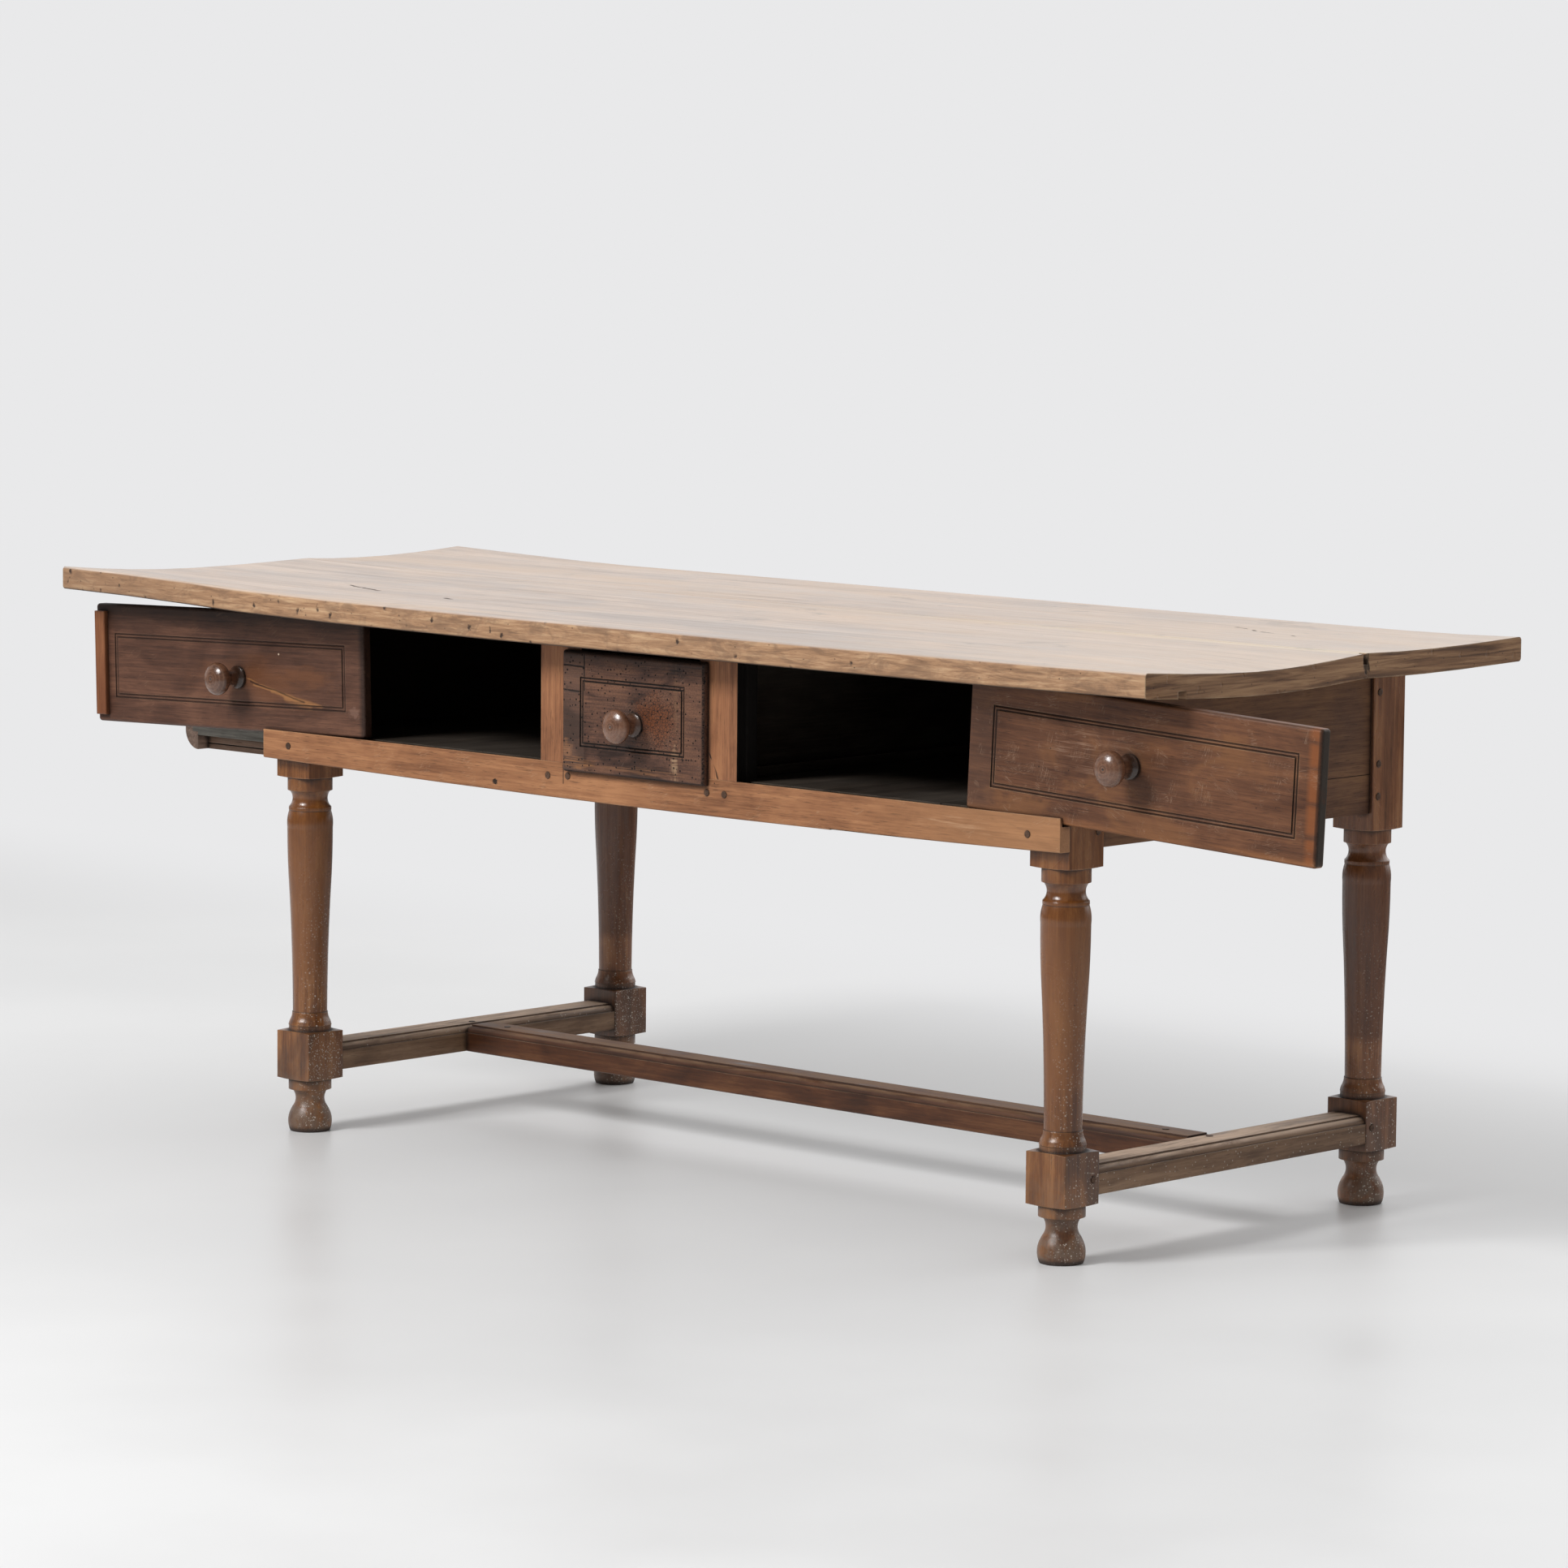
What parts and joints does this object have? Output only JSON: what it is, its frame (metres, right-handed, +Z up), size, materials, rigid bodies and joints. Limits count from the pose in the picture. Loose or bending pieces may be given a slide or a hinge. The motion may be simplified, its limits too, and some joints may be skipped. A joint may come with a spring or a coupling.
{
  "type": "dining table",
  "caption": "Long wooden table with turned legs, stretchers, a drawer, two sliding doors over open compartments and a pull-out board at one end.",
  "frame": {"origin": "on the floor, under the middle of the whole table with its doors and board drawn out as pictured", "axes": "+X along the table towards its short overhang, the drawer side faces -Y, +Z up"},
  "size_m": [2.316, 0.813, 0.806],
  "materials": {
    "worn_top_walnut": "worn wax",
    "frame_wood": "worn wax",
    "leg_wood": "worn wax",
    "door_wood": "worn wax",
    "knob_wood": "worn wax",
    "lath_wood": "worn wax",
    "raw_wood": "unfinished",
    "board_frame_wood": "worn wax",
    "peg_wood": "worn wax"
  },
  "bodies": {
    "frame": {"leg_front_left": "leg_wood", "leg_front_right": "leg_wood", "leg_back_left": "leg_wood", "leg_back_right": "leg_wood", "end_stretcher_left": "frame_wood", "end_stretcher_right": "frame_wood", "long_stretcher": "frame_wood", "front_rail": "frame_wood", "post_left": "frame_wood", "post_right": "frame_wood", "end_apron_left": "frame_wood", "end_apron_right_lower": "frame_wood", "end_apron_right_upper": "frame_wood", "back_apron": "frame_wood", "back_ledger": "raw_wood", "partition_left": "raw_wood", "partition_right": "raw_wood", "foot_strip_left": "raw_wood", "foot_strip_right": "raw_wood", "drawer_runner_left": "raw_wood", "drawer_runner_right": "raw_wood", "floor_board_left_1": "raw_wood", "floor_board_left_2": "raw_wood", "floor_board_left_3": "raw_wood", "floor_board_right_1": "raw_wood", "floor_board_right_2": "raw_wood", "floor_board_right_3": "raw_wood", "board_runner_front": "raw_wood", "board_runner_back": "raw_wood", "board_bearer": "raw_wood", "top_board_front": "worn_top_walnut", "top_board_back": "worn_top_walnut", "top_dowels": "worn_top_walnut", "rail_pegs": "peg_wood", "apron_pegs": "peg_wood", "stretcher_pegs": "peg_wood"},
    "drawer": {"drawer_front": "door_wood", "drawer_knob": "knob_wood", "drawer_side_left": "raw_wood", "drawer_side_right": "raw_wood", "drawer_back": "raw_wood", "drawer_bottom": "raw_wood"},
    "pull_out_board": {"pull_board": "raw_wood", "pull_board_cleat": "board_frame_wood", "pull_board_batten_front": "board_frame_wood", "pull_board_batten_back": "board_frame_wood"},
    "left_knob": {"door_knob_left": "knob_wood"},
    "left_door": {"door_left": "door_wood", "door_lath_left": "lath_wood"},
    "right_knob": {"door_knob_right": "knob_wood"},
    "right_door": {"door_right": "door_wood"}
  },
  "joints": [
    {"name": "drawer_slide", "type": "slide", "parent": "frame", "child": "drawer", "axis": [0, -1, 0], "range_m": [0, 0.4]},
    {"name": "pull_out_board_slide", "type": "slide", "parent": "frame", "child": "pull_out_board", "axis": [-1, 0, 0], "range_m": [-0.272, 0.1]},
    {"name": "left_door_slide", "type": "slide", "parent": "frame", "child": "left_knob", "axis": [-0.9999, 0, -0.0127], "range_m": [-0.37103, 0]},
    {"name": "left_door_tip", "type": "hinge", "parent": "left_knob", "child": "left_door", "pos_m": [-0.84162, -0.3408, 0.6598], "axis": [0, 1, 0], "range_deg": [0, 1.7]},
    {"name": "right_door_slide", "type": "slide", "parent": "frame", "child": "right_knob", "axis": [0.9996, 0, -0.0288], "range_m": [-0.41717, 0]},
    {"name": "right_door_tip", "type": "hinge", "parent": "right_knob", "child": "right_door", "pos_m": [0.84958, -0.3408, 0.6649], "axis": [0, 1, 0], "range_deg": [-2.7, 0]}
  ],
  "couplings": [
    {"joint": "left_door_tip", "follows": "left_door_slide", "rad_per_m": -0.079967},
    {"joint": "right_door_tip", "follows": "right_door_slide", "rad_per_m": 0.11296}
  ]
}
